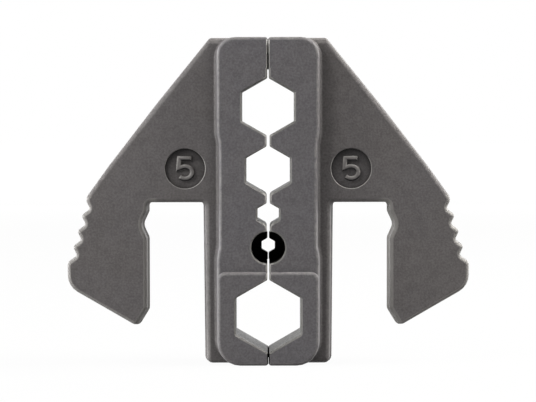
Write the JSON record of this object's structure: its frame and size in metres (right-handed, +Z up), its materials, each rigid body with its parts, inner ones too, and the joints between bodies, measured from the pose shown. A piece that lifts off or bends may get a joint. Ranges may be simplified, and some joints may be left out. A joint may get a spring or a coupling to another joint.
{
  "type": "crimp die insert",
  "caption": "Pair of mirror-image steel crimp die halves with hexagonal nests along the parting face, slotted wings that clip onto tool jaws, and finger notches.",
  "frame": {"origin": "on the parting plane, in the middle of the thickness, at the feet of the two halves", "axes": "+Z up from the feet to the nose, +X from the left half to the right half, the face with the counterbore and the number recesses towards -Y"},
  "size_m": [0.0524, 0.0098, 0.0424],
  "materials": {
    "cast_steel": "matte sand-blasted casting with slightly brighter edges"
  },
  "bodies": {
    "left_half": {"left_die_half": "cast_steel"},
    "right_half": {"right_die_half": "cast_steel"}
  },
  "joints": [
    {"name": "die_opening", "type": "slide", "parent": "left_half", "child": "right_half", "axis": [1, 0, 0], "range_m": [0, 0.01]}
  ]
}
